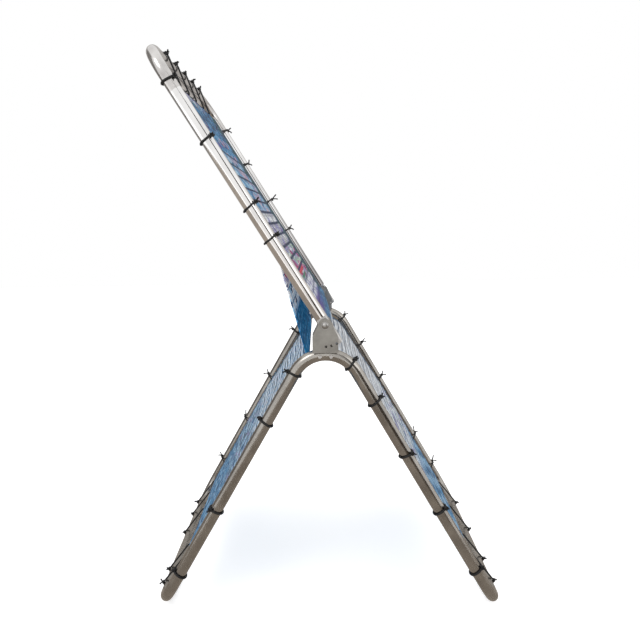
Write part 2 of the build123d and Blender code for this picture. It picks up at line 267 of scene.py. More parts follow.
def multiplied(tree, first, second):
    node = add(tree, "ShaderNodeMix", data_type="RGBA", blend_type="MULTIPLY")
    node.inputs[0].default_value = 1.0
    tree.links.new(first, node.inputs[6])
    tree.links.new(second, node.inputs[7])
    return node.outputs[2]


def painted_foot_shade(tree, colour, low, high, tone):
    """Painted reflection and shade: darkens a colour toward the foot of a tube, from none at high to full
    at low (Z).
    """
    split = tree.nodes.new("ShaderNodeSeparateXYZ")
    tree.links.new(object_coordinates(tree, (1, 1, 1)), split.inputs["Vector"])
    place = add(tree, "ShaderNodeMapRange")
    place.inputs["From Min"].default_value = low
    place.inputs["From Max"].default_value = high
    tree.links.new(split.outputs["Z"], place.inputs["Value"])
    shade = ramp(tree, place.outputs["Result"], [(0.0, tone), (1.0, grey(1.0))])
    return multiplied(tree, colour, shade)


def steel(name, dark, light, rough, turn=(0, 0, 0), painted_shade=None):
    """Drawn steel: fine grain one way and faint smears, darkened toward its foot by painted reflection and
    shade if asked.
    """
    material, tree, shader = new_material(name)
    shader.inputs["Metallic"].default_value = 1.0
    along = object_coordinates(tree, (1, 1, 0.03), turn)
    plain = object_coordinates(tree, (1, 1, 1))
    smears = noise(tree, plain, 22, 5, 0.6)
    colour = ramp(tree, smears, [(0.3, dark), (0.7, light)])
    if painted_shade:
        colour = painted_foot_shade(tree, colour, *painted_shade)
    tree.links.new(colour, shader.inputs["Base Color"])
    lines = noise(tree, along, 700, 3, 0.6)
    wear = ramp(tree, lines, [(0.25, grey(rough[0])), (0.75, grey(rough[1]))])
    tree.links.new(wear, shader.inputs["Roughness"])
    bump(tree, shader, lines, 0.25, 0.06 * MM)
    return material


def brushed_plate(name):
    """Dull sheet steel, brushed one way and lightly blotched."""
    material, tree, shader = new_material(name)
    shader.inputs["Metallic"].default_value = 1.0
    along = object_coordinates(tree, (0.05, 1, 1))
    plain = object_coordinates(tree, (1, 1, 1))
    blotches = noise(tree, plain, 45, 6, 0.65)
    tone = ramp(tree, blotches, [(0.3, (0.32, 0.31, 0.29)), (0.75, (0.46, 0.45, 0.42))])
    tree.links.new(tone, shader.inputs["Base Color"])
    lines = noise(tree, along, 900, 2)
    wear = ramp(tree, lines, [(0.2, grey(0.38)), (0.8, grey(0.55))])
    tree.links.new(wear, shader.inputs["Roughness"])
    bump(tree, shader, lines, 0.3, 0.08 * MM)
    return material


def nylon(name):
    """Off-white moulded nylon with a fine speckle."""
    material, tree, shader = new_material(name)
    plain = object_coordinates(tree, (1, 1, 1))
    speckle = noise(tree, plain, 400, 3)
    tone = ramp(tree, speckle, [(0.3, (0.70, 0.68, 0.62)), (0.7, (0.80, 0.78, 0.73))])
    tree.links.new(tone, shader.inputs["Base Color"])
    shader.inputs["Roughness"].default_value = 0.42
    bump(tree, shader, speckle, 0.15, 0.1 * MM)
    return material


def fibre(name, dark=0.66, light=1.12, roughness=0.88, sheen=0.06, through=0.0):
    """Yarn: its colour comes from the mesh, broken up by fine lengthwise fibres.

    A small emission, through, stands in for daylight that comes through thin, open cloth.
    """
    material, tree, shader = new_material(name)
    tone = add(tree, "ShaderNodeAttribute", attribute_name="tone")
    strands = noise(tree, object_coordinates(tree, (1, 0.12, 1)), 950, 4, 0.7)
    patches = noise(tree, object_coordinates(tree, (1, 1, 1)), 60, 3)
    shade = ramp(tree, strands, [(0.3, grey(dark)), (0.72, grey(light))])
    wide = ramp(tree, patches, [(0.3, grey(0.86)), (0.7, grey(1.06))])
    worn = multiplied(tree, multiplied(tree, tone.outputs["Color"], shade), wide)
    vivid = add(tree, "ShaderNodeHueSaturation", Saturation=1.3, Value=0.86)
    tree.links.new(worn, vivid.inputs["Color"])
    tree.links.new(vivid.outputs["Color"], shader.inputs["Base Color"])
    if through:
        tree.links.new(vivid.outputs["Color"], shader.inputs["Emission Color"])
        shader.inputs["Emission Strength"].default_value = through
    shader.inputs["Roughness"].default_value = roughness
    shader.inputs["Sheen Weight"].default_value = sheen
    shader.inputs["Sheen Roughness"].default_value = 0.45
    bump(tree, shader, strands, 0.5, 0.25 * MM)
    return material


# ---------------------------------------------------------------- mesh helpers
class Mesh:
    """Gathers parts of one piece: their points, faces and colours."""

    def __init__(self):
        self.points, self.faces, self.tones, self.count = [], [], [], 0

    def add(self, points, faces, tone):
        points = np.asarray(points, float).reshape(-1, 3)
        tone = np.broadcast_to(np.asarray(tone, float), (len(points), 3))
        self.points.append(points)
        self.tones.append(tone)
        self.faces.append(np.asarray(faces, int) + self.count)
        self.count += len(points)

    def finish(self, name, material, body=None, replaces=()):
        mesh = bpy.data.meshes.new(name)
        points = np.concatenate(self.points)
        quads = np.concatenate(self.faces)
        mesh.vertices.add(len(points))
        mesh.vertices.foreach_set("co", points.ravel())
        mesh.loops.add(quads.size)
        mesh.loops.foreach_set("vertex_index", quads.ravel())
        mesh.polygons.add(len(quads))
        mesh.polygons.foreach_set("loop_start", np.arange(len(quads)) * 4)
        mesh.update(calc_edges=True)
        mesh.validate()
        tone = mesh.attributes.new("tone", "FLOAT_COLOR", "POINT")
        rgba = np.concatenate([np.concatenate(self.tones), np.ones((len(points), 1))], 1)
        tone.data.foreach_set("color", rgba.ravel())
        mesh.shade_smooth()
        mesh.materials.append(material)
        piece = bpy.data.objects.new(name, mesh)
        bpy.context.scene.collection.objects.link(piece)
        if body:
            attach(piece, body)
        if replaces:
            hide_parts(*replaces)
        return piece


def grid_faces(rows, columns, wrap_rows=False, wrap_columns=False):
    """Quads of a grid of points, rows by columns, closed either way round if asked."""
    r = np.arange(rows if wrap_rows else rows - 1)
    c = np.arange(columns if wrap_columns else columns - 1)
    r, c = np.meshgrid(r, c, indexing="ij")
    r2, c2 = (r + 1) % rows, (c + 1) % columns
    faces = np.stack([r * columns + c, r * columns + c2, r2 * columns + c2, r2 * columns + c], -1)
    return faces.reshape(-1, 4)


def smooth_line(points, step, closed=False):
    """A Catmull-Rom curve through the points, spaced evenly."""
    p = np.asarray(points, float)
    if closed:
        p = np.concatenate([p[-1:], p, p[:2]])
    else:
        p = np.concatenate([2 * p[:1] - p[1:2], p, 2 * p[-1:] - p[-2:-1]])
    t = np.linspace(0, 1, 12, endpoint=False)[:, None]
    spans = []
    for a, b, c, d in zip(p, p[1:], p[2:], p[3:]):
        spans.append(
            0.5
            * (2 * b + (c - a) * t + (2 * a - 5 * b + 4 * c - d) * t**2 + (3 * b - a - 3 * c + d) * t**3)
        )
    fine = np.concatenate(spans + [p[-2:-1]])
    run = np.concatenate([[0], np.cumsum(np.linalg.norm(np.diff(fine, axis=0), axis=1))])
    wanted = np.linspace(0, run[-1], max(4, int(run[-1] / step)))
    even = np.stack([np.interp(wanted, run, fine[:, i]) for i in range(3)], -1)
    return even[:-1] if closed else even


def frames_along(line, closed):
    """Two directions across the line at each point, carried along it without twisting."""
    ahead = np.roll(line, -1, 0) - np.roll(line, 1, 0)
    if not closed:
        ahead[0], ahead[-1] = line[1] - line[0], line[-1] - line[-2]
    ahead /= np.linalg.norm(ahead, axis=1)[:, None]
    side = np.cross(ahead[0], (0.31, 0.87, 0.39))
    sides = []
    for direction in ahead:
        side = side - direction * side.dot(direction)
        side /= np.linalg.norm(side)
        sides.append(side)
    sides = np.array(sides)
    return sides, np.cross(ahead, sides)


def add_cord(mesh, points, radius, tone, step=CORD_STEP, closed=False, second=None):
    """A laid cord: a round tube whose surface shows the strands winding round it."""
    sides = CORD_SIDES
    line = smooth_line(points, step, closed)
    a, b = frames_along(line, closed)
    run = np.concatenate([[0], np.cumsum(np.linalg.norm(np.diff(line, axis=0), axis=1))])
    angle = np.arange(sides) / sides * 2 * math.pi
    turns = 2 * math.pi / CORD_LAY * run[:, None]
    wave = np.abs(np.sin(CORD_STRANDS / 2 * angle[None] + turns / 2))
    reach = radius * (1 - CORD_RELIEF + CORD_RELIEF * wave)
    if not closed:
        reach[0] *= 0.55
        reach[-1] *= 0.55
    ring = a[:, None] * np.cos(angle)[None, :, None] + b[:, None] * np.sin(angle)[None, :, None]
    surface = line[:, None] + ring * reach[..., None]
    base = np.asarray(tone, float)
    other = base if second is None else np.asarray(second, float)
    strand = np.floor((CORD_STRANDS * angle[None] + turns) / (2 * math.pi)) % CORD_STRANDS
    # Darker where the strands dip between each other: painted shade in the cord's grooves.
    colours = np.where((strand == 0)[..., None], other, base) * (0.7 + 0.3 * wave[..., None])
    mesh.add(surface, grid_faces(len(line), sides, closed, True), colours.reshape(-1, 3))
    if not closed:
        first_ring, last_ring = mesh.count - len(line) * sides, mesh.count - sides
        for centre, ring_start in ((line[0], first_ring), (line[-1], last_ring)):
            tip = mesh.count
            mesh.add([centre], np.zeros((0, 4)), base)
            k = np.arange(0, sides, 2)
            fan = [tip + 0 * k, ring_start + k, ring_start + (k + 1) % sides, ring_start + (k + 2) % sides]
            mesh.faces.append(np.stack(fan, -1))


# ---------------------------------------------------------------- colours of the yarns
def srgb(*rgb):
    """A display colour, 0 to 255, as linear values."""
    c = np.array(rgb) / 255
    return np.where(c <= 0.04045, c / 12.92, ((c + 0.055) / 1.055) ** 2.4)


NAVY = srgb(34, 50, 88)
INK = srgb(24, 34, 52)
TEAL = srgb(34, 62, 84)
DEEP = srgb(46, 92, 132)
BLUE = srgb(70, 122, 164)
SKY = srgb(122, 164, 198)
ICE = srgb(176, 202, 222)
WHITE = srgb(226, 230, 234)
SILVER = srgb(182, 183, 186)
SLATE = srgb(100, 114, 132)
LILAC = srgb(158, 156, 188)
PURPLE = srgb(104, 92, 152)
ROSE = srgb(186, 158, 176)
MAGENTA = srgb(158, 66, 128)
RED = srgb(206, 72, 92)
GREEN = srgb(64, 122, 98)
SAGE = srgb(168, 190, 176)
BLACK = srgb(16, 16, 18)


def cloud(u, v, size, seed):
    """A smooth pattern from 0 to 1 over the cloth; size is its grain in metres."""
    rng = np.random.default_rng(seed)
    total = 0.0
    for _ in range(7):
        direction, phase = rng.uniform(0, 2 * math.pi, 2)
        stretch = rng.uniform(0.6, 1.7)
        total = total + np.sin(
            2 * math.pi * stretch / size * (v * math.cos(direction) + u * math.sin(direction)) + phase
        )
    return np.clip(0.5 + total / 7, 0, 1)


def mix(a, b, amount):
    amount = np.asarray(amount)[..., None]
    return np.asarray(a) * (1 - amount) + np.asarray(b) * amount


def step(value, edge, soft=0.06):
    return np.clip((value - edge) / soft + 0.5, 0, 1)


def between(value, start, end, soft=0.06):
    return step(value, start, soft) * (1 - step(value, end, soft))


def mottled(across, v, seed):
    """The all-blue stretches: three blues run together."""
    tone = mix(DEEP, BLUE, step(cloud(across, v, 0.05, seed), 0.42, 0.25))
    tone = mix(tone, SKY, 0.8 * step(cloud(across * 0.4, v, 0.022, seed + 1), 0.64, 0.15))
    return mix(tone, NAVY, 0.7 * step(cloud(across * 0.3, v, 0.03, seed + 2), 0.74, 0.12))


def border(tone, u, v, colour, start, seed):
    """A dark selvedge band along the back edge, a little uneven."""
    wander = 0.03 * (cloud(u * 0.2, v, 0.09, seed) - 0.5)
    speck = mix(colour, GREEN, 0.6 * step(cloud(u * 0.3, v, 0.03, seed + 3), 0.72, 0.1))
    return mix(tone, speck, step(u + wander, start, 0.03))


# A line in a dark yarn colour at each tuck, where the ribs fold in; it is also the painted shade of the
# crease.
def tuck_crease_shade(tone, phase, colour, width=0.07, strength=0.95):
    near = np.minimum(phase, 1 - phase)
    return mix(tone, colour, strength * (1 - step(near, width, 0.04)))


def spots(tone, across, v, colour, size, seed, cover):
    """Short coloured picks scattered over the cloth; cover is the share of it they take."""
    return mix(tone, colour, step(cloud(across * 0.35, v, size, seed), 1 - cover, 0.04))


def arm_tone(u, v, phase):
    """Blue at the top, then pale ribs between navy tucks, each also darkened as painted shade in its
    crease, then small coloured figures.
    """
    y = u * 2 * EDGE_Y
    tone = mottled(y, v, 11)
    tone = spots(tone, y, v, NAVY, 0.03, 12, 0.2)
    mixed = mix(SKY, BLUE, step(cloud(y * 0.5, v, 0.03, 14), 0.5, 0.2))
    mixed = spots(mixed, y, v, PURPLE, 0.035, 15, 0.24)
    mixed = spots(mixed, y, v, ROSE, 0.03, 16, 0.2)
    tone = mix(tone, mixed, step(v, 0.085, 0.03))
    pale = mix(SKY, ICE, step(cloud(y * 0.5, v, 0.05, 21), 0.5, 0.3))
    pale = mix(pale, ROSE, 0.8 * between(u, 0.4, 0.75, 0.2) * step(cloud(y * 0.3, v, 0.05, 22), 0.5, 0.2))
    pale = spots(pale, y, v, BLUE, 0.03, 23, 0.22)
    tone = mix(tone, pale, step(v, 0.150, 0.02))
    cells = mix(LILAC, SILVER, step(cloud(y * 0.4, v, 0.04, 25), 0.45, 0.3))
    cells = spots(cells, y, v, WHITE, 0.03, 26, 0.25)
    cells = spots(cells, y, v, PURPLE, 0.04, 27, 0.12)
    tone = mix(tone, cells, step(v, 0.290, 0.02))
    figures = mix(SAGE, LILAC, step(cloud(y * 0.4, v, 0.04, 41), 0.5, 0.15))
    figures = spots(figures, y, v, MAGENTA, 0.045, 43, 0.34)
    figures = spots(figures, y, v, WHITE, 0.03, 44, 0.2)
    figures = mix(figures, RED, between(v, 0.436, 0.452, 0.006) * between(u, 0.12, 0.62, 0.1))
    figures = mix(figures, GREEN, between(v, 0.456, 0.464, 0.004) * between(u, 0.2, 0.5, 0.1))
    tone = mix(tone, figures, step(v, 0.382, 0.015))
    bright = mix(WHITE, LILAC, step(cloud(y * 0.5, v, 0.03, 45), 0.55, 0.2))
    tone = mix(tone, bright, step(v, 0.470, 0.012))
    tone = mix(tone, mix(PURPLE, DEEP, step(u, 0.6, 0.5)), step(v, 0.512, 0.012))
    flecks = mix(LILAC, WHITE, step(cloud(y, v, 0.02, 31), 0.5, 0.1))
    flecks = spots(flecks, y, v, GREEN, 0.02, 33, 0.25)
    flecks = spots(flecks, y, v, PURPLE, 0.02, 34, 0.3)
    tone = mix(tone, flecks, (1 - step(v, 0.026, 0.02)) * (1 - step(u, 0.5, 0.4)))
    # Teal and navy tuck lines, which are also painted shade in the creases where the ribs fold in.
    line = mix(TEAL, NAVY, step(v, 0.2, 0.05))
    strength = 0.3 + 0.7 * step(v, 0.13, 0.04) - 0.5 * step(v, 0.46, 0.04)
    near = np.minimum(phase, 1 - phase)
    tone = mix(tone, line, strength * (1 - step(near, 0.11, 0.05)))
    return border(tone, u, v, TEAL, 0.8, 51)


def flap_tone(u, v, phase):
    y = u * 2 * EDGE_Y
    pale = mix(SILVER, LILAC, step(cloud(y * 0.4, v, 0.05, 61), 0.45, 0.2))
    pale = spots(pale, y, v, MAGENTA, 0.04, 63, 0.2)
    pale = mix(pale, RED, between(v, 0.052, 0.066, 0.006) * between(u, 0.04, 0.2, 0.04))
    pale = mix(pale, GREEN, between(v, 0.066, 0.078, 0.006) * between(u, 0.12, 0.3, 0.04))
    bright = mix(WHITE, ICE, step(cloud(y * 0.5, v, 0.03, 71), 0.5, 0.2))
    bright = spots(bright, y, v, NAVY, 0.025, 72, 0.2)
    tone = mix(pale, bright, step(v, 0.080, 0.015))
    blue = mix(BLUE, DEEP, step(cloud(y * 0.5, v, 0.03, 73), 0.5, 0.2))
    blue = spots(blue, y, v, SKY, 0.025, 74, 0.25)
    tone = mix(tone, blue, step(v, 0.140, 0.02))
    tone = tuck_crease_shade(tone, phase, DEEP, 0.06, 0.7)
    return mix(tone, NAVY, 0.85 * step(u, 0.94, 0.02))


def hub_tone(u, v, phase):
    """The run past the pivot: purple and strong blue, then the right leg's white."""
    y = u * 2 * EDGE_Y
    blue = mix(DEEP, BLUE, step(cloud(y * 0.5, v, 0.03, 161), 0.5, 0.2))
    blue = spots(blue, y, v, SKY, 0.02, 162, 0.2)
    tone = mix(mix(PURPLE, blue, step(u, 0.5, 0.5)), blue, step(v, 0.02, 0.02))
    white = mix(WHITE, SILVER, 0.6 * step(cloud(y, v, 0.04, 163), 0.5, 0.3))
    tone = mix(tone, white, step(v, 0.078, 0.02))
    return tuck_crease_shade(tone, phase, NAVY, 0.06, 0.6)


def strands(v, pitch, share):
    """1 on a raised strand and 0 in the gap before the next."""
    return between((v / pitch) % 1, 0.5 - share / 2, 0.5 + share / 2, 0.16)


def left_tone(u, v, phase):
    y = u * 2 * EDGE_Y
    gap = mix(SLATE * 0.6, DEEP, step(cloud(y * 0.4, v, 0.05, 81), 0.45, 0.3))
    gap = spots(gap, y, v, LILAC, 0.04, 82, 0.15)
    sway = v + 0.004 * np.sin(y * 30)
    white = mix(gap, 1.25 * mix(WHITE, ICE, cloud(y, v, 0.03, 83)), strands(sway, 0.0128, 0.55))
    fine = mix(DEEP, SLATE * 0.7, step(cloud(y * 0.4, v, 0.04, 84), 0.5, 0.2))
    fine = mix(fine, 1.3 * ICE, strands(sway, 0.0128, 0.5) * step(cloud(y * 0.5, v, 0.03, 85), 0.35, 0.2))
    fine = spots(fine, y, v, LILAC, 0.03, 86, 0.16)
    blue = mottled(y, v, 87)
    blue = mix(blue, 1.2 * ICE, strands(sway, 0.0128, 0.35) * step(cloud(y * 0.5, v, 0.03, 88), 0.55, 0.1))
    tone = mix(white, fine, step(v, 0.24, 0.05))
    tone = mix(tone, blue, step(v, 0.38, 0.08))
    tone = tuck_crease_shade(tone, phase, mix(SLATE, NAVY, 0.6), 0.05, 0.75)
    return border(tone, u, v, mix(TEAL, SLATE, 0.35), 0.93, 91)


def right_tone(u, v, phase):
    y = u * 2 * EDGE_Y
    sway = v + 0.003 * np.sin(y * 26 + 1)
    plain = 1.15 * mix(SLATE, WHITE, strands(sway, 0.0128, 0.7))
    plain = mix(plain, SILVER, 0.5 * step(cloud(y, v, 0.06, 101), 0.55, 0.3))
    plain = tuck_crease_shade(plain, phase, srgb(128, 126, 128), 0.07, 0.85)
    gap = mix(SAGE, SKY, step(cloud(y * 0.4, v, 0.07, 103), 0.4, 0.3))
    gap = 0.6 * mix(gap, SLATE, step(cloud(y * 0.4, v, 0.04, 104), 0.5, 0.3))
    bright = mix(gap, 1.25 * WHITE, strands(sway, 0.0128, 0.5))
    bright = spots(bright, y, v, LILAC, 0.04, 105, 0.22)
    blue = mottled(y, v, 107)
    blue = mix(blue, 1.2 * ICE, strands(sway, 0.0128, 0.4) * step(cloud(y * 0.5, v, 0.03, 108), 0.45, 0.1))
    tone = mix(plain, bright, step(v, 0.215, 0.04))
    tone = mix(tone, blue, step(v, 0.38, 0.08))
    # Navy at the tucks below the plain ribs, which is also painted shade in the creases.
    near = np.minimum(phase, 1 - phase)
    tone = mix(tone, NAVY, 0.6 * step(v, 0.215, 0.04) * (1 - step(near, 0.05, 0.04)))
    edge = mix(SLATE, TEAL, step(v, 0.2, 0.05))
    return mix(tone, edge, step(u + 0.02 * (cloud(u, v, 0.08, 109) - 0.5), 0.93, 0.03))


# ---------------------------------------------------------------- where the ties sit
def tie_places(node, along, origin):
    """How far along a direction each loop of a CAD tie group sits."""
    points = np.array([v.co for v in frame["nodes"][node].data.vertices])
    run = np.sort((points - origin) @ along)
    groups = np.split(run, np.where(np.diff(run) > 3 * MM)[0] + 1)
    return [float(g.min() + g.max()) / 2 for g in groups]


def scallop(places, start, end, depth=0.045):
    """How far an edge is drawn in between its ties, as a function of the distance along."""
    stops = np.array([start] + sorted(p for p in places if start < p < end) + [end])

    def dip(v):
        v = np.clip(v, start, end)
        k = np.clip(np.searchsorted(stops, v, side="right") - 1, 0, len(stops) - 2)
        span = np.maximum(stops[k + 1] - stops[k], 1e-6)
        t = (v - stops[k]) / span
        return np.minimum(depth * span, DIP_MOST) * np.sin(math.pi * t) ** 0.8

    return dip


# ---------------------------------------------------------------- the woven panels
def weave(name, path, tone, dips, material, sag_seed):
    """A ribbed, hand-woven cloth: its picks run across, with a tuck at each rib's edge."""
    ribs = max(1, round(path.length / RIB))
    rows = ribs * PICKS_PER_RIB * ROWS_PER_PICK + 1
    v = np.linspace(0, path.length, rows)[:, None]
    u = np.linspace(0, 1, COLUMNS + 1)[None]
    rib_phase = (v / path.length * ribs) % 1
    pick = np.floor(v / path.length * ribs * PICKS_PER_RIB + 1e-6)
    pick_phase = (v / path.length * ribs * PICKS_PER_RIB) % 1
    front, back, top, foot = dips
    edge = EDGE_Y - EDGE_R * 0.5
    y_front = -(edge - front(v))
    y_back = edge - back(v)
    y = y_front + (y_back - y_front) * u
    fade_top = np.clip(1 - v / DIP_FADE, 0, 1) ** 2
    fade_foot = np.clip(1 - (path.length - v) / DIP_FADE, 0, 1) ** 2
    shift = top(y) * fade_top - foot(y) * fade_foot
    point, normal = path.at(np.clip(v + shift, 0, path.length))
    wave = SAG * (cloud(y * 0.5, v, 0.16, sag_seed) - 0.5)
    fall = np.minimum(np.minimum(u, 1 - u) / 0.04, 1)
    ends = np.minimum(np.minimum(v, path.length - v) / END_FADE, 1)
    body = RIB_SWELL * np.sin(math.pi * rib_phase) ** 0.7 * fall**0.5 * ends
    relief = PICK_RELIEF * np.sin(math.pi * pick_phase) ** 0.8
    warp = 2 * math.pi * y / WARP_PITCH
    over = 0.62 + 0.38 * np.cos(warp + math.pi * pick)
    under = 0.62 - 0.38 * np.cos(warp + math.pi * pick)
    upper = wave + 0.5 * body + CLOTH_HALF_T + relief * over
    lower = wave - 0.35 * body - CLOTH_HALF_T - relief * under
    uu, vv = np.broadcast_to(u, y.shape), np.broadcast_to(v, y.shape)
    colours = tone(uu, vv, np.broadcast_to(rib_phase, y.shape))
    jitter = np.random.default_rng(sag_seed).uniform(0.88, 1.1, (rows, 1))
    pick_light = jitter[np.minimum((pick[:, 0] * ROWS_PER_PICK).astype(int), rows - 1)]
    # Each pick is lighter on its crown and darker toward its edges: painted shade between the picks, on
    # top of a random tone for each pick.
    colours = colours * pick_light[..., None] * (0.72 + 0.28 * np.sin(math.pi * pick_phase))[..., None]
    mesh = Mesh()
    faces = grid_faces(rows, COLUMNS + 1)
    across = point * (1, 0, 1) + y[..., None] * ACROSS
    mesh.add(across + normal * upper[..., None], faces[:, ::-1], colours.reshape(-1, 3))
    mesh.add(across + normal * lower[..., None], faces, colours.reshape(-1, 3))
    rim = np.concatenate(
        [
            np.arange(COLUMNS + 1),
            np.arange(1, rows) * (COLUMNS + 1) + COLUMNS,
            (rows - 1) * (COLUMNS + 1) + np.arange(COLUMNS - 1, -1, -1),
            np.arange(rows - 2, 0, -1) * (COLUMNS + 1),
        ]
    )
    after = np.roll(rim, -1)
    offset = rows * (COLUMNS + 1)
    mesh.faces.append(np.stack([rim, after, after + offset, rim + offset], -1))
    return mesh.finish(name, material)


def no_dip(v):
    return 0 * v


def edge_line(path, dips, side):
    """The selvedge along the front (-1) or the back (1) edge of a panel."""
    v = np.linspace(0, path.length, 90)
    point, _ = path.at(v)
    dip = dips[0] if side < 0 else dips[1]
    return point * (1, 0, 1) + np.outer(side * (EDGE_Y - dip(v)), ACROSS)


def end_line(path, dip, at_foot):
    """The selvedge across a panel's top or foot."""
    y = np.linspace(-EDGE_Y, EDGE_Y, 60)
    v = path.length - dip(y) if at_foot else dip(y)
    point, _ = path.at(v)
    return point * (1, 0, 1) + np.outer(y, ACROSS)


# ---------------------------------------------------------------- ties and their knots
def rotate(vector, axis, angle):
    return np.array(Matrix.Rotation(angle, 3, Vector(axis)) @ Vector(vector))


def add_knot(mesh, centre, out, along, rng):
    """A pulled-down overhand knot: a trefoil pressed against the tube."""
    t = np.linspace(0, 2 * math.pi, 42, endpoint=False)
    side = np.cross(out, along)
    a = (np.sin(t) + 2 * np.sin(2 * t)) * KNOT_SIZE
    b = (np.cos(t) - 2 * np.cos(2 * t)) * KNOT_SIZE
    c = -np.sin(3 * t) * KNOT_SIZE * 1.15
    turn = rng.uniform(0, 2 * math.pi)
    a, b = a * math.cos(turn) - b * math.sin(turn), a * math.sin(turn) + b * math.cos(turn)
    points = centre + np.outer(a, along) + np.outer(b, side) + np.outer(c, out)
    add_cord(mesh, points, TAIL_R * 1.05, BLACK, closed=True, step=KNOT_STEP)


def add_tails(mesh, root, out, along, rng, length):
    """A knot's two loose ends, which curl a little and droop."""
    for turn in (rng.uniform(0.35, 0.8), -rng.uniform(0.3, 0.9)):
        reach = length * rng.uniform(0.7, 1.15)
        axis = np.cross(out, along)
        heading = rotate(out, axis, turn)
        curl = rng.uniform(-0.9, 0.9)
        points = [root]
        for i in range(4):
            points.append(points[-1] + heading * reach / 4)
            heading = rotate(heading, along, curl / 4)
            heading = heading + np.array((0, 0, -0.10))
            heading /= np.linalg.norm(heading)
        add_cord(mesh, points, TAIL_R, BLACK)


def add_tie(mesh, centre, tangent, inward, reach, knot_turn, rng, tail):
    """A cord round the tube and the edge cord; knot_turn starts on the side away from the cloth."""
    big, small = TUBE_R + TIE_R * 1.02, EDGE_R + TIE_R * 1.05
    opening = math.acos((big - small) / reach)
    up = np.cross(tangent, inward)
    lean = rng.uniform(-0.16, 0.16)
    points = []
    for angle in np.linspace(opening, 2 * math.pi - opening, 15):
        points.append((big * math.cos(angle), big * math.sin(angle)))
    for angle in np.linspace(-opening, opening, 6):
        points.append((reach + small * math.cos(angle), small * math.sin(angle)))
    loop = [
        centre + inward * x + up * y + tangent * (lean * y + 0.4 * MM * math.sin(7 * x / big))
        for x, y in points
    ]
    add_cord(mesh, loop, TIE_R, BLACK, closed=True)
    out = -inward * math.cos(knot_turn) + up * math.sin(knot_turn)
    at = centre + out * (big + KNOT_LIFT) + tangent * (lean * big * math.sin(knot_turn))
    add_knot(mesh, at, out, tangent, rng)
    add_tails(mesh, at + out * TAIL_LIFT, out, tangent, rng, tail)


def add_lacing(mesh, tube_point, tangent, edge_point, rng, knot_turn, tail):
    """A tie at a bow: round the tube, with its two runs down to the cloth's edge."""
    span = edge_point - tube_point
    inward = span - tangent * span.dot(tangent)
    reach = float(np.linalg.norm(inward))
    inward /= reach
    skew = span.dot(tangent) / reach
    big, small = TUBE_R + TIE_R * 1.02, EDGE_R + TIE_R * 1.05
    opening = math.acos((big - small) / reach)
    up = np.cross(tangent, inward)
    points = []
    for angle in np.linspace(opening, 2 * math.pi - opening, 15):
        points.append((big * math.cos(angle), big * math.sin(angle)))
    for t in (0.35, 0.7):
        x = big * math.cos(opening) * (1 - t) + (reach + small * math.cos(opening)) * t
        y = -(big * (1 - t) + small * t) * math.sin(opening)
        points.append((x, y))
    for angle in np.linspace(-opening, opening, 6):
        points.append((reach + small * math.cos(angle), small * math.sin(angle)))
    for t in (0.3, 0.65):
        x = big * math.cos(opening) * t + (reach + small * math.cos(opening)) * (1 - t)
        y = (big * t + small * (1 - t)) * math.sin(opening)
        points.append((x, y))
    loop = [tube_point + inward * x + up * y + tangent * skew * max(x, 0) for x, y in points]
    add_cord(mesh, loop, TIE_R * 0.95, BLACK, closed=True)
    out = -inward * math.cos(knot_turn) + up * math.sin(knot_turn)
    at = tube_point + out * (big + KNOT_LIFT)
    add_knot(mesh, at, out, tangent, rng)
    add_tails(mesh, at + out * TAIL_LIFT, out, tangent, rng, tail)


# ---------------------------------------------------------------- build the pieces
yarn = fibre("woven_yarn")
# The flap's yarn glows a little: painted light for daylight that comes through the cloth.
glowing_flap_yarn = fibre("glowing_woven_yarn", through=0.55)
cord_fibre = fibre("edge_cord_fibre", 0.65, 1.1, 0.8, 0.05)
black_cord = fibre("black_tie_cord", 0.5, 1.5, 0.6, 0.03)

# Steels: a dark and a light tone each; the painted shades toward a tube's foot, painted reflection and
# shade, give a height in metres where they are full, one where they end, and their tone
# The base and foot bows take a darker, warmer copy of the arm's steel: painted reflection of a brown
# floor. The top bow takes a darker grey copy: painted reflection of dark surroundings.
BASE_STEEL_PAINTED_DIM = ((0.31, 0.29, 0.265), (0.47, 0.445, 0.41))
BOW_STEEL_PAINTED_DIM = ((0.50, 0.48, 0.47), (0.74, 0.72, 0.70))
ARM_BRIGHT = ((0.76, 0.75, 0.74), (0.92, 0.91, 0.90))
ARM_GLOSS = (0.07, 0.16)
